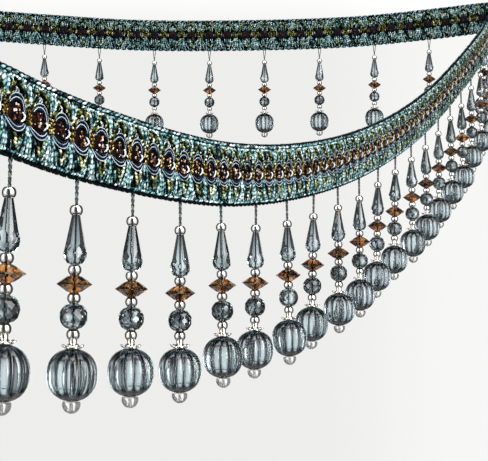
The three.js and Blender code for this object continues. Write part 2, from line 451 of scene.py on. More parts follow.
# The braid is worked flat, one motif to each medallion, then laid onto the hanging line. Every stroke below
# is one yarn in a motif: (length from the medallion's middle, height) at each control point.
motifMiddles = (np.arange(trim["medallionCount"]) + 0.5) * trim["medallionPitch"]
halfPitch = trim["medallionPitch"] / 2

faceWork = {
    "unevenness": 0.16,  # how far a yarn's control points wander from motif to motif
    "stationsPerStroke": 6,
    "sides": 4,
    "stitchEnds": 0.6,  # how far the ends of a stitch lie below its middle
    "stitchDyeSpread": 0.3,
    "reverseDye": 0.92,  # the reverse is a little darker
}


# One yarn in every motif. lift is how far its middle stands off the braid's mid plane, and sunk how far its
# ends do. taper is the share of its radius left at the ends, and wander how far its control points stray.
def stroke(points, radius, dye, lift=1.15, sunk=0.55, stations=faceWork["stationsPerStroke"], taper=0.55,
           dyeSpread=0.15, wander=faceWork["unevenness"]):
    count = trim["medallionCount"]
    controls = np.zeros((count, len(points), 3))
    controls[:, :, :2] = np.array(points, float)[:, :2]
    t = np.linspace(0, 1, len(points))
    controls[:, :, 2] = sunk + (lift - sunk) * np.sin(math.pi * t) ** 0.7
    controls += chance.normal(0, wander, controls.shape) * np.array([1, 1, 0.8])
    controls[:, :, 0] += motifMiddles[:, None]
    paths = smoothPaths(controls, stations)
    reach = np.linspace(0, 1, stations)
    radii = radius * (taper + (1 - taper) * np.sin(math.pi * reach) ** 0.6)
    dyesAndPaintedShading = np.clip(dye + chance.normal(0, dyeSpread, count), 0, 1)
    return tubes(paths, radii[None], faceWork["sides"], dyesAndPaintedShading)


# Short stitches spaced along a path in every motif, each one slanted across it
def stitches(path, count, length, slant, radius, dye, lift=1.3):
    path = np.array(path, float)
    far = np.concatenate([[0], np.cumsum(np.linalg.norm(np.diff(path, axis=0), axis=1))])
    made = []
    for where in (np.arange(count) + 0.5) * far[-1] / count:
        middle = np.array([np.interp(where, far, path[:, k]) for k in range(2)])
        ahead = np.array([np.interp(where + 0.1, far, path[:, k]) for k in range(2)]) - middle
        heading = math.atan2(ahead[1], ahead[0]) + slant
        half = 0.5 * length * np.array([math.cos(heading), math.sin(heading)])
        made.append(stroke([middle - half, middle, middle + half], radius, dye, lift=lift,
                           sunk=lift - faceWork["stitchEnds"], stations=4, taper=0.4,
                           dyeSpread=faceWork["stitchDyeSpread"]))
    return made


# Flat work laid onto the hanging braid as one piece
def braidPiece(name, flat, material, smooth=True):
    flat["corners"] = onBraid(flat["corners"])
    piece = placed(meshOf(name, flat, material, smooth), name, "braid")
    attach(piece, "root")
    print(name, "made:", sum(len(face) - 2 for face in flat["faces"]), "triangles")


# A piece of the braid worked on both faces. work(reverse) gives the parts of one face.
def workedPiece(name, work, material, smooth=True):
    front = joined(work(False))
    back = otherFace(joined(work(True)))
    back["dye"] = back["dye"] * faceWork["reverseDye"]
    flat = joined([front, back])
    flat["corners"][:, 0] = np.clip(flat["corners"][:, 0], 0, trim["braidLength"])
    braidPiece(name, flat, material, smooth)


medallion = {
    "middle": 12.5,
    "nesting": 0.6,  # from one cord to the next inside it
    "stations": 11,
}


# The cord arched over the top, which runs down on the right to the gold stitches there
def topArch(inward):
    d = inward * medallion["nesting"]
    return [
        (-5.1 + 0.9 * d, 14.6 - 0.3 * d), (-4.4 + 0.8 * d, 16.2 - 0.6 * d), (-2.5 + 0.5 * d, 17.4 - 0.9 * d),
        (0.0, 17.8 - d), (2.6 - 0.5 * d, 17.2 - 0.9 * d), (4.6 - 0.8 * d, 15.4 - 0.5 * d),
        (5.9 - 0.7 * d, 13.0 - 0.3 * d), (7.2 - 0.3 * d, 10.8),
    ]


# The cord slung under the bottom, from one gold stitch to the next
def bottomSling(inward):
    d = inward * medallion["nesting"]
    return [
        (-6.9 + 0.4 * d, 10.6), (-6.0 + 0.6 * d, 9.2 + 0.4 * d), (-3.6 + 0.4 * d, 7.6 + 0.9 * d),
        (-0.2, 7.0 + d), (3.2 - 0.4 * d, 7.6 + 0.9 * d), (5.4 - 0.6 * d, 9.0 + 0.6 * d),
        (7.0 - 0.3 * d, 10.6),
    ]


cordSizes = {
    "taper": 0.8,
    "unevenness": 0.07,
    "dye": 0.5,
    "white": {"radius": 0.18, "lift": 1.5, "inwards": [0, 2]},  # places counted in from the outermost cord
    "navy": {"radius": 0.46, "lift": 1.35, "inwards": [1, 3]},
    "crescentRadius": 0.4,
    "postRadius": 0.32,
    "reverseSling": {"radius": 0.3, "lift": 1.1, "inward": 4},
}


def cords(size):
    made = []
    for inward in size["inwards"]:
        for path in (topArch(inward), bottomSling(inward)):
            made.append(stroke(path, size["radius"], cordSizes["dye"], lift=size["lift"],
                               stations=medallion["stations"], taper=cordSizes["taper"],
                               wander=cordSizes["unevenness"]))
    return made


# Fine white cords and a bright crescent at the right of each ribbon puff. On the reverse only short posts of
# the cord show, at both sides of the puff.
def whiteCords(reverse):
    if reverse:
        posts = [[(side * 3.5, 13.8), (side * 3.8, 12.4), (side * 3.5, 11.0)] for side in (-1, 1)]
        return [stroke(post, cordSizes["postRadius"], 0.1, lift=1.3) for post in posts]
    crescent = [(3.8, 13.7), (4.5, 12.4), (4.3, 11.1), (3.2, 9.9)]
    made = cords(cordSizes["white"])
    made.append(stroke(crescent, cordSizes["crescentRadius"], 0.95, lift=1.5, taper=0.3))
    return made


# Navy cords between the white ones, and navy yarns that part the fans above and below each medallion
def navyCords(reverse):
    if reverse:
        sling = cordSizes["reverseSling"]
        path = bottomSling(sling["inward"])
        return [stroke(path, sling["radius"], cordSizes["dye"], lift=sling["lift"], stations=8)]
    made = cords(cordSizes["navy"])
    for side in (-1, 1):
        parting = [(side * 6.8, 14.4), (side * 5.3, 16.8), (side * 3.1, 19.2), (side * 0.6, 21.2)]
        made.append(stroke(parting, 0.55, 0.1, lift=1.4))
    made.append(stroke([(-6.2, 8.9), (-4.8, 6.2), (-2.4, 1.4)], 0.6, 0.1, lift=1.5))
    made.append(stroke([(5.9, 8.3), (4.8, 5.6), (3.2, 1.4)], 0.45, 0.1, lift=1.45))
    return made


workedPiece("iceGimpCords", whiteCords, iceGimp)
workedPiece("navyGimpCords", navyCords, navyGimp)

# The puffed ribbon that shows inside each medallion
puff = {
    "width": 9.0,
    "height": 6.8,
    "reverseWidth": 6.2,
    "reverseHeight": 6.4,
    "offCentre": -0.2,
    "base": 0.55,
    "rise": 0.75,
    "crumple": 0.05,
    "cells": 8,
}


# How far the puff stands off the braid's mid plane, at places from -1 to 1 across it and up it
def puffHeight(across, up):
    edge = np.clip(1 - np.abs(across) ** 3, 0, 1) * np.clip(1 - np.abs(up) ** 3, 0, 1)
    return puff["base"] + puff["rise"] * edge**0.5


def ribbonPuffs(reverse):
    steps = np.linspace(-1, 1, puff["cells"] + 1 - 2 * reverse)  # fewer cells on the plainer reverse
    across, up = np.meshgrid(steps, steps)
    points = np.zeros((trim["medallionCount"], *across.shape, 3))
    width = puff["reverseWidth"] if reverse else puff["width"]
    height = puff["reverseHeight"] if reverse else puff["height"]
    points[..., 0] = motifMiddles[:, None, None] + puff["offCentre"] + across * width / 2
    points[..., 1] = medallion["middle"] + up * height / 2
    crumple = chance.normal(0, puff["crumple"], points.shape[:3])
    points[..., 2] = puffHeight(across, up) + crumple * (np.abs(across) < 0.95) * (np.abs(up) < 0.95)
    return [grids(points, chance.random(trim["medallionCount"]))]


workedPiece("maroonRibbon", ribbonPuffs, satinRibbon())

glitter = {
    "flakes": 15,
    "reverseFlakes": 3,
    "radius": 0.4,
    "thickness": 0.16,
    "proud": 0.08,  # how far a flake's middle stands off the ribbon
    "tilt": 0.3,
    "gathered": 0.3,  # their spread across the ribbon, and that of the reverse
    "reverseGathered": 0.2,
    "reverseDye": 0.3,
}


# Six-sided flakes, flat to the ribbon and tilted a little each its own way. Those on the reverse are darker.
def glitterFlakes(reverse):
    each = glitter["reverseFlakes"] if reverse else glitter["flakes"]
    count = trim["medallionCount"] * each
    gathered = glitter["reverseGathered"] if reverse else glitter["gathered"]
    across = np.clip(chance.normal(-0.05, gathered, count), -0.7, 0.7)
    up = chance.uniform(-0.75, 0.75, count)
    middles = np.stack([
        np.repeat(motifMiddles, each) + puff["offCentre"] + across * puff["width"] / 2,
        medallion["middle"] + up * puff["height"] / 2,
        puffHeight(across, up) + glitter["proud"],
    ], -1)
    leans = [chance.normal(0, glitter["tilt"], count) for axis in "xy"]
    tilts = unit(np.stack([*leans, np.ones(count)], -1))
    bothSides = np.array([[[-0.5], [0.5]]])
    paths = middles[:, None] + bothSides * tilts[:, None] * glitter["thickness"]
    sizes = glitter["radius"] * chance.uniform(0.5, 1.3, count)
    return [flakes(paths, tilts, sizes, chance.random(count) * (glitter["reverseDye"] if reverse else 1.0))]


def flakes(paths, tilts, sizes, dye):
    sides = 6
    beside = unit(np.cross(tilts, np.array([0.0, 1.0, 0.0])))
    other = np.cross(tilts, beside)
    turn = 2 * math.pi * np.arange(sides) / sides
    ring = np.cos(turn)[:, None] * beside[:, None] + np.sin(turn)[:, None] * other[:, None]
    corners = paths[:, :, None] + sizes[:, None, None, None] * ring[:, None]
    number = np.arange(corners.shape[0] * 2 * sides).reshape(-1, 2, sides)
    quads = ringQuads(number)
    caps = np.concatenate([number[:, 0, ::-1], number[:, 1]])
    return {
        "corners": corners.reshape(-1, 3),
        "faces": quads.tolist() + caps.tolist(),
        "dye": np.repeat(dye, 2 * sides),
        "lay": np.zeros((quads.size + caps.size, 2)),
    }


workedPiece("copperGlitter", glitterFlakes, filmGlitter(), smooth=False)

goldPatch = {
    "rows": [-1.3, -0.45, 0.4, 1.25],  # places across the patch
    "reverseRows": [-0.5, 0.5],
    "top": 14.9,
    "bottom": 10.1,
    "stitchLength": 1.3,
    "slant": 0.7,
    "radius": 0.3,
    "dye": 0.52,
    "lift": 1.6,
}


# A patch of short gold stitches binds the cords between one medallion and the next. Its rows slant by turns.
def goldStitches(reverse):
    made = []
    for i, across in enumerate(goldPatch["reverseRows"] if reverse else goldPatch["rows"]):
        row = [(halfPitch + across, goldPatch["top"]), (halfPitch + across, goldPatch["bottom"])]
        slant = goldPatch["slant"] * (-1) ** i
        count = 3 + i % 2  # three stitches in one row, four in the next
        made += stitches(row, count, goldPatch["stitchLength"], slant, goldPatch["radius"],
                         goldPatch["dye"], lift=goldPatch["lift"])
    return made


workedPiece("goldStitches", goldStitches, giltThread)

leaves = {
    "leftDye": 0.76,
    "rightDye": 0.62,
    "underlay": {"radius": 0.85, "dye": 0.25, "lift": 1.25},  # the dark yarn between the two rows of stitches
    "slant": 0.8,
    "lift": 1.55,
    "besidePuff": [(4.9, 5.2, 0.62, 1.3), (6.1, 6.3, 0.4, 1.2)],  # across at ends and middle, dye, lift
}


# Two leaves of chain stitches lean together over each medallion, and shorter rows run down below it. The
# reverse has fewer stitches, and plain yarns beside its ribbon puff.
def oliveLeaves(reverse):
    made = []
    for side in (-1, 1):
        leaf = [(side * 6.3, 15.2), (side * 4.9, 17.6), (side * 2.8, 19.9), (side * 0.5, 21.7)]
        dye = leaves["leftDye"] if side < 0 else leaves["rightDye"]
        if not reverse:
            under = leaves["underlay"]
            made.append(stroke(leaf, under["radius"], under["dye"], lift=under["lift"], taper=0.5,
                               dyeSpread=0.0))
        outer = [(s + side * 0.75, h + 0.5) for s, h in leaf]
        inner = [(s - side * 0.4, h - 0.4) for s, h in leaf[:3]]
        slant = side * leaves["slant"]
        made += stitches(outer, 4 if reverse else 5, 1.6, slant, 0.42, dye, lift=leaves["lift"])
        made += stitches(inner, 3 if reverse else 4, 1.4, -slant, 0.4, dye, lift=leaves["lift"])
        if reverse:
            made.append(stroke(leaf, 0.5, 0.5, lift=1.2))
            for ends, middle, plainDye, lift in leaves["besidePuff"]:
                beside = [(side * ends, 14.8), (side * middle, 12.4), (side * ends, 10.2)]
                made.append(stroke(beside, 0.5, plainDye, lift=lift))
    made += stitches([(-0.4, 6.4), (0.4, 2.6)], 3, 2.1, 0.5, 0.55, 0.7)
    made += stitches([(3.6, 7.3), (2.6, 2.8)], 3, 2.0, -0.4, 0.5, 0.5)
    return made


workedPiece("oliveLeaves", oliveLeaves, oliveRayon)

fans = {
    "radius": 0.46,
    "lift": 1.35,
    "paleLower": 0.35,  # how much lower the pale yarns lie
    "darker": 0.1,  # for each yarn that it is further out than evenHalf from the middle
    "evenHalf": 2.5,
    # spacing: how far apart the yarns are at each height
    "upper": {"pale": 0.72, "mid": 0.45, "spacing": [(0.22, 15.4), (0.5, 18.0), (0.95, 20.4), (1.25, 22.5)]},
    "lower": {"pale": 0.74, "mid": 0.47, "spacing": [(0.22, 9.9), (0.6, 6.9), (1.0, 3.7), (1.3, 0.6)]},
}


# Twelve yarns that fan out from each gold patch, pale and mid by turns in the middle and darker at the sides
def fan(size):
    made = []
    for k in np.arange(-5.5, 6, 1):
        pale = k % 2 == 0.5
        dye = (size["pale"] if pale else size["mid"]) - fans["darker"] * max(0.0, abs(k) - fans["evenHalf"])
        points = [(halfPitch + gap * k, height) for gap, height in size["spacing"]]
        lift = fans["lift"] - fans["paleLower"] * pale
        made.append(stroke(points, fans["radius"], dye, lift=lift, stations=5))
    return made


# Aqua fans up to the top edge, with a pale tuft on each medallion
def upperAqua(reverse):
    made = fan(fans["upper"])
    if reverse:
        for k in (-2.4, -0.9, 0.9, 2.4):
            made.append(stroke([(k, 15.4), (1.1 * k, 17.2), (0.8 * k, 19.6)], 0.5, 0.6, lift=1.3, stations=4))
    for k in (-0.6, 0.5):
        made.append(stroke([(k, 17.8), (1.1 * k, 18.7), (0.4 * k, 19.8)], 0.3, 0.8, lift=1.3, stations=4))
    return made


workedPiece("upperAquaYarns", upperAqua, aquaRayon)


# Aqua fans down to the bottom edge
def lowerAqua(reverse):
    made = fan(fans["lower"])
    if reverse:
        for k in (-2.0, -0.7, 0.7, 2.0):
            made.append(stroke([(1.3 * k, 9.4), (1.2 * k, 6.5), (k, 2.6)], 0.5, 0.55, lift=1.3, stations=4))
    return made


workedPiece("lowerAquaYarns", lowerAqua, aquaRayon)

edgeRows = {
    "knotPitch": 1.93,
    "knotRadius": 0.45,
    "knot": [(-0.3, -0.45, 0.6), (0.0, 0.0, 1.1), (0.3, 0.45, 0.6)],  # along, up and out of the braid
    "unevenness": 0.08,
    "dyeSpread": 0.25,
    "rows": [(22.3, 0.55), (0.7, 0.5)],  # height and dye
    "reverseRows": [(24.4, 0.5), (-0.2, 0.45)],
    "longLoops": {"height": 23.6, "halfLength": 1.2, "radius": 0.5, "dye": 0.6, "perMedallion": 4},
}


# Rows of small loops that hold the fans at both edges, each a short slanting yarn, and longer ones at the top
def edgeLoops(reverse):
    made = []
    pitch = edgeRows["knotPitch"]
    count = int(trim["braidLength"] / pitch)
    rows = edgeRows["rows"] + (edgeRows["reverseRows"] if reverse else [])
    for row, (height, dye) in enumerate(rows):
        s = (np.arange(count) + 0.5 + 0.5 * (row % 2)) * pitch
        controls = np.zeros((count, 3, 3))
        for i, (along, up, out) in enumerate(edgeRows["knot"]):
            controls[:, i] = np.stack([s + along, np.full(count, height + up), np.full(count, out)], -1)
        controls += chance.normal(0, edgeRows["unevenness"], controls.shape)
        dyesAndPaintedShading = np.clip(dye + chance.normal(0, edgeRows["dyeSpread"], count), 0, 1)
        made.append(tubes(controls, np.array([[0.6, 1.0, 0.6]]) * edgeRows["knotRadius"], 4, dyesAndPaintedShading))
    loops = edgeRows["longLoops"]
    half, height = loops["halfLength"], loops["height"]
    for k in (np.arange(loops["perMedallion"]) + 0.5) / loops["perMedallion"] - 0.5:
        s = k * trim["medallionPitch"]
        ends = [(s - half, height - 0.3), (s, height), (s + half, height + 0.3)]
        made.append(stroke(ends, loops["radius"], loops["dye"], lift=1.4))
    return made


workedPiece("edgeLoops", edgeLoops, aquaRayon)

edgeCords = {
    "endInset": 0.3,
    "top": {"height": 24.2, "plyRadius": 0.38, "twistRadius": 0.36, "pitch": 7.7, "stationsPerTurn": 14,
            "unevenness": 0.15, "deeper": 1.3},
    "bottom": {"height": 0.3, "radius": 0.68, "waist": 0.5, "knotsPerMedallion": 3, "stationsPerKnot": 9,
               "knotDrop": 0.7, "unevenness": 0.08},
}
cordStart, cordEnd = edgeCords["endInset"], trim["braidLength"] - edgeCords["endInset"]


# A two-ply cord along the top edge
def topCord(size):
    turns = trim["braidLength"] / size["pitch"]
    stations = int(turns * size["stationsPerTurn"])
    s = np.linspace(cordStart, cordEnd, stations)
    paths = []
    for ply in (0, 1):
        angle = 2 * math.pi * s / size["pitch"] + ply * math.pi
        uneven = 1 + size["unevenness"] * np.sin(s * 0.9 + ply) * np.sin(s * 0.37)
        height = size["height"] + size["twistRadius"] * uneven * np.cos(angle)
        paths.append(np.stack([s, height, size["twistRadius"] * size["deeper"] * np.sin(angle)], -1))
    plies = tubes(np.array(paths), np.array([[size["plyRadius"]]]), 4, [0.3, 0.7])
    braidPiece("topEdgeCord", plies, edgeCord)


# Picots along the bottom edge: one cord knotted close, a small ball at each knot
def picots(size):
    pitch = trim["medallionPitch"] / size["knotsPerMedallion"]
    s = np.arange(cordStart, cordEnd, pitch / size["stationsPerKnot"])
    knot = np.abs(np.sin(math.pi * s / pitch)) ** 0.8
    uneven = chance.normal(1, size["unevenness"], len(s))
    radii = size["radius"] * (size["waist"] + (1 - size["waist"]) * knot) * uneven
    path = np.stack([s, size["height"] - size["knotDrop"] * knot, chance.normal(0, 0.06, len(s))], -1)
    braidPiece("bottomEdgePicots", tubes(path[None], radii[None], 5, [0.2]), edgeCord)


topCord(edgeCords["top"])
picots(edgeCords["bottom"])

groundSize = {
    "halfThickness": 0.6,
    "inset": 0.2,  # from the braid's edges
    "columnLength": 1.9,
    "rows": 11,
}


# The woven ground: one thin closed strip as wide as the braid, from its front end to its back end
def groundStrip():
    columns = int(trim["braidLength"] / groundSize["columnLength"])
    s = np.linspace(0, trim["braidLength"], columns + 1)
    heights = np.linspace(groundSize["inset"], trim["braidWidth"] - groundSize["inset"], groundSize["rows"])
    half = groundSize["halfThickness"]
    loop = [(h, -half) for h in heights] + [(h, half) for h in heights[::-1]]
    around = len(loop)
    flat = np.array([[(x, h, out) for h, out in loop] for x in s])
    number = np.arange((columns + 1) * around).reshape(columns + 1, around)
    ends = []
    for row, order in ((0, -1), (columns, 1)):
        for i in range(len(heights) - 1):
            j = around - 1 - i
            ends.append([int(number[row, n]) for n in (i, i + 1, j - 1, j)][::order])
    faces = ringQuads(number).tolist() + ends
    return {
        "corners": onBraid(flat).reshape(-1, 3),
        "faces": faces,
        "dye": np.zeros(number.size),
        "lay": flat.reshape(-1, 3)[np.array(faces).ravel()][:, :2],
    }


ground = placed(meshOf("wovenGround", groundStrip(), wovenGround(), smooth=False), "wovenGround", "braid")
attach(ground, "root")
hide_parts("braid")
print("braid made")

# Beads, in the order they are strung. Rings are (radius, distance down, turn in half facets) from the top of
# the bead to its bottom.
boreRadius = 0.35
paintedShadeAtEnds = 0.25  # painted shade at both ends of each bead and in its bore
beads = {
    "spacer": {"height": 3.3, "radius": 2.15, "sides": 18, "bore": 0.8},
    # On the faceted beads a share of the corners is put in painted shade
    "teardrop": {"height": 15.2, "sides": 9, "paintedShadeShare": 0.42, "shadedCornerDye": 0.35, "rings": [
        (1.35, 0, 0), (3.1, 9.0, 0), (3.7, 11.6, 1), (3.5, 13.4, 2), (2.5, 14.8, 3), (1.3, 15.2, 4)]},
    "bicone": {"height": 5.5, "sides": 12, "paintedShadeShare": 0.6, "shadedCornerDye": 0.0, "rings": [
        (1.3, 0, 0), (2.4, 0.4, 1), (4.1, 1.5, 2), (5.75, 2.75, 3), (4.1, 4.0, 4), (2.4, 5.1, 5),
        (1.3, 5.5, 6)]},
    "round": {"height": 8.0, "sides": 12, "paintedShadeShare": 0.6, "shadedCornerDye": 0.12, "rings": [
        (1.4, 0, 0), (2.7, 0.5, 1), (3.7, 1.5, 2), (4.25, 2.7, 3), (4.4, 4.0, 4), (4.25, 5.3, 5),
        (3.7, 6.5, 6), (2.7, 7.5, 7), (1.4, 8.0, 8)]},
    "cap": {
        "height": 2.6, "sides": 14, "bore": 0.8,
        "rings": [(1.2, 0, 0), (1.45, 0.35, 0), (1.2, 0.8, 0), (1.35, 1.3, 0), (2.2, 1.75, 0), (2.9, 2.3, 0),
                  (2.75, 2.6, 0), (1.4, 2.2, 0)],
        "petals": 8, "petalReach": 2.9, "petalRadius": 0.64, "petalDown": 2.35, "petalCurl": 0.35,
        "wireRadius": 0.24},
    "melon": {
        "height": 16.6, "radius": 8.0, "fullness": 2.4, "lobes": 11, "grooveDepth": 0.12, "stepsPerLobe": 8,
        "rings": 15,
        # the painted shade thins from a groove to the crest, and covers all past the outer two of endPlaces,
        # which run from -1 at the top of the bead to 1 at its bottom
        "clearing": 1.35, "clearingCurve": 1.2, "overall": 0.1,
        "paintedEndShade": 1.4, "endPlaces": [-0.72, -0.3, 0.5, 0.82]},
    "end": {"height": 3.8, "radius": 2.9, "sides": 18, "bore": 0.4},
}


# A bead turned round its bore: rings from the top of the outside down, then back up through the bore. Painted
# shade always lies on both ends and in the bore. Elsewhere the given painted-shade function of (angles, ring)
# gives each corner's share of the clear tint, and shape(angles, ring) the share of the radius.
def turnedBead(rings, sides, shape=None, bore=boreRadius, paintedShade=None):
    rings = [*rings, (bore, rings[-1][1], rings[-1][2]), (bore, rings[0][1], rings[0][2])]
    corners = []
    dye = []
    for i, (radius, down, halfSteps) in enumerate(rings):
        angles = 2 * math.pi * (np.arange(sides) + halfSteps / 2) / sides
        inBore = i >= len(rings) - 2
        reach = radius if shape is None or inBore else radius * shape(angles, i)
        z = np.full(sides, -float(down))
        corners.append(np.stack([reach * np.cos(angles), reach * np.sin(angles), z], -1))
        if i == 0 or i >= len(rings) - 3:
            dye.append(np.full(sides, paintedShadeAtEnds))
        else:
            dye.append(np.ones(sides) if paintedShade is None else paintedShade(angles, i))
    number = np.arange(len(rings) * sides).reshape(len(rings), sides)
    following = np.roll(number, -1, axis=1)
    faces = []
    for i in range(len(rings)):
        j = (i + 1) % len(rings)
        a, b, c, d = number[i], following[i], number[j], following[j]
        stepOn = rings[j][2] - rings[i][2]
        if stepOn == 0:
            faces += np.stack([a, c, d, b], -1).tolist()
        elif stepOn > 0:  # the next ring is half a facet on
            faces += np.stack([a, c, b], -1).tolist() + np.stack([b, c, d], -1).tolist()
        else:  # back to the first ring, a number of whole facets round
            lower = np.roll(number[j], stepOn // 2)
            faces += np.stack([a, lower, np.roll(lower, -1), b], -1).tolist()
    return np.concatenate(corners), faces, np.concatenate(dye)


# Rings of a ball between two heights above its middle
def roundRings(radius, top, bottom, count):
    downs = np.linspace(math.acos(top / radius), math.acos(bottom / radius), count)
    return [(radius * math.sin(a), top - radius * math.cos(a), 0) for a in downs]


def spacerBead():
    size = beads["spacer"]
    half = size["height"] / 2
    return turnedBead(roundRings(size["radius"], half, -half, 8), size["sides"], bore=size["bore"])


def endBead():
    size = beads["end"]
    above = size["height"] - size["radius"]
    rings = roundRings(size["radius"], above, -size["radius"] * 0.985, 9)
    return turnedBead(rings, size["sides"], bore=size["bore"])


def melonBead():
    size = beads["melon"]
    half = size["height"] / 2
    places = np.sin(np.linspace(-1, 1, size["rings"]) * math.pi / 2) * 0.985  # closer together at the ends
    reach = size["radius"] * (1 - np.abs(places) ** size["fullness"]) ** 0.5
    rings = [(r, half + half * place, 0) for r, place in zip(reach, places)]
    grooves = size["grooveDepth"] * np.clip(1.4 * (1 - np.abs(places) ** 4), 0, 1)

    def crest(angles):
        return np.abs(np.sin(angles * size["lobes"] / 2))

    def lobed(angles, ring):
        return 1 - grooves[ring] * (1 - crest(angles) ** 0.8)

    # Painted shade, deepest in the grooves and spreading from them to the whole bead round the cap and the end
    # bead
    def paintedShade(angles, ring):
        nearEnd = np.interp(places[ring], size["endPlaces"], [size["paintedEndShade"], 0.0, 0.0, size["paintedEndShade"]])
        clear = size["clearing"] * crest(angles) ** size["clearingCurve"]
        return np.clip(clear - size["overall"] - nearEnd, 0, 1)

    rings[0] = (rings[0][0], 0, 0)
    rings[-1] = (rings[-1][0], size["height"], 0)
    return turnedBead(rings, size["lobes"] * size["stepsPerLobe"], lobed, paintedShade=paintedShade)


# The cap: a short collar over a shallow cup, with a ring of wire loops curled up at its rim
def capBead():
    size = beads["cap"]
    corners, faces, dye = turnedBead(size["rings"], size["sides"], bore=size["bore"])
    wire = np.linspace(0, 2 * math.pi, 11)
    across = size["petalRadius"] * np.sin(wire)
    outward = size["petalReach"] - size["petalRadius"] * np.cos(wire) * 0.9
    raised = -size["petalDown"] + size["petalCurl"] * (1 - np.cos(wire)) ** 1.5 / 2**0.5
    petals = []
    for k in range(size["petals"]):
        a = 2 * math.pi * k / size["petals"]
        x = outward * math.cos(a) - across * math.sin(a)
        y = outward * math.sin(a) + across * math.cos(a)
        petals.append(np.stack([x, y, raised], -1))
    loops = tubes(np.array(petals), np.array([[size["wireRadius"]]]), 5, 0.0)
    start = len(corners)
    faces += [[n + start for n in face] for face in loops["faces"]]
    return np.vstack([corners, loops["corners"]]), faces, np.concatenate([dye, loops["dye"]])


# Painted shade lies in patches on the faceted beads, each corner clear or shaded
def facetedBead(kind):
    size = beads[kind]

    def paintedShade(angles, ring):
        return np.where(chance.random(len(angles)) < size["paintedShadeShare"], size["shadedCornerDye"], 1.0)

    return turnedBead(size["rings"], size["sides"], paintedShade=paintedShade)


stringing = ["spacer", "teardrop", "spacer", "bicone", "spacer", "round", "spacer", "cap", "melon", "end"]
smoothMakers = {"spacer": spacerBead, "cap": capBead, "melon": melonBead, "end": endBead}  # the rest are faceted
groups = {  # which beads make each mesh, with the material of each
    "smokeBeads": {
        "teardrop": smokeAcrylic, "round": smokeAcrylic, "melon": smokeAcrylic, "end": clearAcrylic},
    "silverBeads": {"spacer": silver, "cap": silver},
    "amberBead": {"bicone": amberAcrylic},
}
stringLength = sum(beads[kind]["height"] for kind in stringing)


# The beads of one group on a string whose top is at height 0. Each bead has its own turn about the thread.
def stringMesh(name, group):
    corners, faces, dyesAndPaintedShading, smooth, slots = [], [], [], [], []
    materials = list(dict.fromkeys(group.values()))
    down = 0.0
    start = 0
    for kind in stringing:
        spin = chance.uniform(0, 2 * math.pi)
        if kind in group:
            points, sides, dye = smoothMakers[kind]() if kind in smoothMakers else facetedBead(kind)
            c, s = math.cos(spin), math.sin(spin)
            turned = points @ np.array([[c, s, 0], [-s, c, 0], [0, 0, 1]]) - np.array([0, 0, down])
            corners.append(turned)
            dyesAndPaintedShading.append(dye)
            faces += [[n + start for n in face] for face in sides]
            smooth += [kind in smoothMakers] * len(sides)
            slots += [materials.index(group[kind])] * len(sides)
            start += len(points)
        down += beads[kind]["height"]
    part = {"corners": np.concatenate(corners), "faces": faces, "dye": np.concatenate(dyesAndPaintedShading)}
    mesh = meshOf(name, part, materials, smooth=False)
    mesh.polygons.foreach_set("use_smooth", smooth)
    mesh.polygons.foreach_set("material_index", slots)
    mesh.update()
    return mesh


variantCount = 4
variants = []
for v in range(variantCount):
    variants.append({name: stringMesh(f"{name}Mesh{v}", group) for name, group in groups.items()})
print("bead strings made:", variantCount, "kinds")

thread = {
    "intoBraid": 1.6,
    "intoBead": 0.8,
    "plyRadius": 0.42,
    "twistRadius": 0.28,
    "spreadAtBraid": 0.7,
    "turnEvery": 3.6,  # coarser than a real twist, so that it shows
    "splay": 1.3,  # how far the splayed plies stand apart where they leave the braid
    "splayedThinner": 0.75,
    "coreRadius": 0.18,
    "coreDown": 0.2,  # the core starts this far below the top of the first bead
    "coreShort": 1.2,  # and is this much shorter than the string of beads
    "stations": 19,
}


# Two plies from the braid to the first bead, twisted together or splayed, then one core through the bores
def threadMesh(name, length, splayed):
    top = thread["intoBraid"]
    stations = thread["stations"]
    z = np.linspace(top, -length - thread["intoBead"], stations)
    share = (z - z[-1]) / (z[0] - z[-1])
    apart = thread["twistRadius"] + (thread["spreadAtBraid"] - thread["twistRadius"]) * share**3
    if splayed:
        apart = thread["splay"] * np.clip(1.2 * share - 0.1, 0.12, 1)
    paths = []
    for ply in (0, math.pi):
        angle = ply + 2 * math.pi * (top - z) / thread["turnEvery"] * (not splayed)
        paths.append(np.stack([apart * np.cos(angle), apart * np.sin(angle) * 0.7, z], -1))
    coreLength = stringLength - thread["coreShort"]
    coreTop = -length - thread["coreDown"]
    core = np.array([[0.0, 0.0, coreTop - coreLength * t] for t in np.linspace(0, 1, stations)])
    paths = np.array([*paths, core])
    plyRadius = thread["plyRadius"] * (thread["splayedThinner"] if splayed else 1)
    radii = np.array([[plyRadius] * stations] * 2 + [[thread["coreRadius"]] * stations])
    paths[:, :, 0] += 0.003 * np.arange(stations)  # keeps the tubes' frames off the upright
    # the core's paler value than the plies is painted light, for the light that would reach it through the
    # acrylic
    part = tubes(paths, radii, 5, [0.4, 0.6, 0.9])
    return meshOf(name, part, beadingThread)


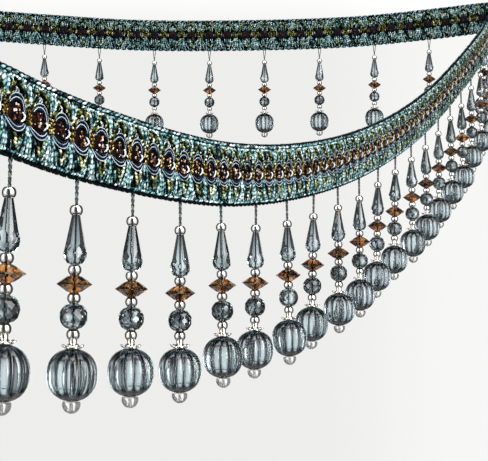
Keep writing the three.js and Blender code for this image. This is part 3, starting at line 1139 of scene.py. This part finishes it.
slotOf = {"smokeBeads": "beads", "silverBeads": "spacers", "amberBead": "amber"}
for i in range(trim["dropCount"]):
    length = (i + 0.5) * trim["dropSpacing"]
    lean, threadLength = frontDrops[i] if i < len(frontDrops) else otherDrop
    point = Vector(atLength(lineRows, length) * mm)
    along = atLength(alongRows, length)
    yaw = math.atan2(along[1], along[0])
    hang = Matrix.Translation(point) @ Matrix.Rotation(-lean / 1000, 4, "Y")  # lean is in mm for a metre
    number = f"{i + 1:02d}"
    beadsOnIt = []
    spin = Matrix.Rotation(chance.uniform(0, 2 * math.pi), 4, "Z")
    for name, mesh in variants[i % variantCount].items():
        piece = placed(mesh, f"{name}_{number}", slotOf[name])
        piece.matrix_world = hang @ Matrix.Translation((0, 0, -threadLength * mm)) @ spin
        beadsOnIt.append(piece)
    strandMesh = threadMesh(f"thread_{number}", threadLength, splayed=i >= len(frontDrops))
    strand = placed(strandMesh, f"thread_{number}", "thread")
    strand.matrix_world = hang @ Matrix.Rotation(yaw, 4, "Z")
    for piece in [*beadsOnIt, strand]:
        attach(piece, "root")
        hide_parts(f"bead_drop_{number}")
print("drops made:", trim["dropCount"])

# The studio: a pale floor below the trim, a pale backdrop, and tall soft panels on both sides of the camera
# with darkness between them, which give the acrylic and the silver their dark outlines
studio = {
    "floorDrop": 1.4,  # below the lowest bead
    "floorReach": 1.0,
    "floorColour": "#F4F4F2",
    "panelLight": 0.7,
    "rightStrip": 14.0,
    "leftStrip": 10.0,
    "overheadStrip": 5.0,
    "backdropLight": 1.0,
    "roomLight": 0.06,
    "backdropTone": 0.85,  # of the backdrop that the camera sees
    "whiterAtTop": 0.14,
    "whiterAtRight": 0.08,
}


def paleFloor():
    material, tree = startMaterial("paintedFloor")
    place = addNode(tree, "ShaderNodeTexCoord")
    mottle = addNode(tree, "ShaderNodeTexNoise", {
        "Vector": place.outputs["Object"], "Scale": 0.6, "Detail": 1.0})
    ramp = addNode(tree, "ShaderNodeValToRGB", {"Fac": mottle.outputs["Fac"]})
    rampStops(ramp, [(0.3, "#EFEFED"), (0.7, studio["floorColour"])])
    shader = addNode(tree, "ShaderNodeBsdfPrincipled", {
        "Base Color": ramp.outputs["Color"], "Roughness": 0.9})
    addNode(tree, "ShaderNodeOutputMaterial", {"Surface": shader.outputs[0]})
    return material


floorMesh = bpy.data.meshes.new("floor")
floorZ = cadLow.z - studio["floorDrop"]
near, far = -studio["floorReach"], studio["floorReach"]
floorMesh.from_pydata([(x, y, floorZ) for x, y in ((near, near), (far, near), (far, far), (near, far))], [],
                      [(0, 1, 2, 3)])
floorMesh.materials.append(paleFloor())
floor = bpy.data.objects.new("floor", floorMesh)
bpy.context.scene.collection.objects.link(floor)

world = bpy.data.worlds.new("studio")
world.use_nodes = True
bpy.context.scene.world = world
world.node_tree.nodes.clear()


def calculated(operation, first, second=0.0):
    return addNode(world.node_tree, "ShaderNodeMath", {0: first, 1: second}, operation=operation).outputs[0]


# 1 between two angles in degrees and 0 outside them, with edges that are soft for that many degrees
def between(angle, low, high, soft):
    edges = []
    for start, end in ((low - soft, low + soft), (high + soft, high - soft)):
        rise = addNode(world.node_tree, "ShaderNodeMapRange", {
            "Value": angle, "From Min": start, "From Max": end}, interpolation_type="SMOOTHSTEP")
        edges.append(rise.outputs["Result"])
    return calculated("MULTIPLY", *edges)


# Angles of each direction from the trim: round from the camera's side, and up from level
direction = addNode(world.node_tree, "ShaderNodeTexCoord")
axes = addNode(world.node_tree, "ShaderNodeSeparateXYZ", {"Vector": direction.outputs["Generated"]})
awayFromCamera = calculated("MULTIPLY", axes.outputs["Y"], -1.0)
rightAngle = calculated("MULTIPLY", calculated("ARCTAN2", axes.outputs["X"], awayFromCamera), 180 / math.pi)
leftAngle = calculated("MULTIPLY", rightAngle, -1.0)
aroundAngle = calculated("ABSOLUTE", rightAngle)
upAngle = calculated("MULTIPLY", calculated("ARCSINE", axes.outputs["Z"]), 180 / math.pi)
sources = [  # each soft source: (angle round from, to, up from, to, light)
    (aroundAngle, 24, 98, -38, 62, studio["panelLight"]),
    (rightAngle, 49, 54, -14, 46, studio["rightStrip"]),
    (leftAngle, 52, 58, -14, 46, studio["leftStrip"]),
    (aroundAngle, -10, 70, 60, 76, studio["overheadStrip"]),
    (aroundAngle, 157, 200, -24, 26, studio["backdropLight"]),
]
studioLight = studio["roomLight"]
for angle, low, high, lowest, highest, light in sources:
    shape = calculated("MULTIPLY", between(angle, low, high, 3.0), between(upAngle, lowest, highest, 4.0))
    studioLight = calculated("ADD", calculated("MULTIPLY", shape, light), studioLight)
lighting = addNode(world.node_tree, "ShaderNodeBackground", {
    "Color": linear("#FFFFFF"), "Strength": studioLight})
# The backdrop that the camera sees: almost white, with painted light that makes it whiter at the top and to the
# right
towardsTop = calculated("MULTIPLY", between(upAngle, 7.6, 200, 1.0), studio["whiterAtTop"])
towardsRight = calculated("MULTIPLY", between(rightAngle, 90, 175, 3.0), studio["whiterAtRight"])
tone = calculated("ADD", calculated("ADD", towardsTop, towardsRight), studio["backdropTone"])
plain = addNode(world.node_tree, "ShaderNodeBackground", {"Color": linear("#FFFFFE"), "Strength": tone})
rays = addNode(world.node_tree, "ShaderNodeLightPath")
surround = addNode(world.node_tree, "ShaderNodeMixShader", {
    0: rays.outputs["Is Camera Ray"], 1: lighting.outputs[0], 2: plain.outputs[0]})
addNode(world.node_tree, "ShaderNodeOutputWorld", {"Surface": surround.outputs[0]})

lights = [  # name, place, aimed at, width, height, watts
    ("topSoftbox", (0.3, -0.9, 1.2), (0.05, -0.45, -0.12), 0.9, 0.9, 6.5),
    ("sideSoftbox", (0.45, -1.25, 0.1), (-0.05, -0.85, -0.15), 0.5, 0.8, 7.5),
]
for name, spot, aim, width, height, watts in lights:
    light = bpy.data.lights.new(name, "AREA")
    light.shape = "RECTANGLE"
    light.size = width
    light.size_y = height
    light.energy = watts
    lamp = bpy.data.objects.new(name, light)
    lamp.location = spot
    lamp.rotation_mode = "QUATERNION"
    lamp.rotation_quaternion = (Vector(aim) - Vector(spot)).to_track_quat("-Z", "Y")
    bpy.context.scene.collection.objects.link(lamp)

# The camera stands level in front of the trim, 1.34 m from its back run
camera = {"place": (0.0, -1.341, -0.177), "focalPixels": 1590, "imageWidth": 488, "sensor": 36.0}
view = bpy.data.cameras.new("camera")
view.sensor_fit = "HORIZONTAL"
view.sensor_width = camera["sensor"]
view.lens = camera["focalPixels"] * camera["sensor"] / camera["imageWidth"]
view.clip_start = 0.01
view.clip_end = 60
viewer = bpy.data.objects.new("camera", view)
viewer.location = camera["place"]
viewer.rotation_euler = (math.pi / 2, 0, 0)
bpy.context.scene.collection.objects.link(viewer)
bpy.context.scene.camera = viewer
bpy.context.scene.view_settings.view_transform = "Standard"
print("studio made")
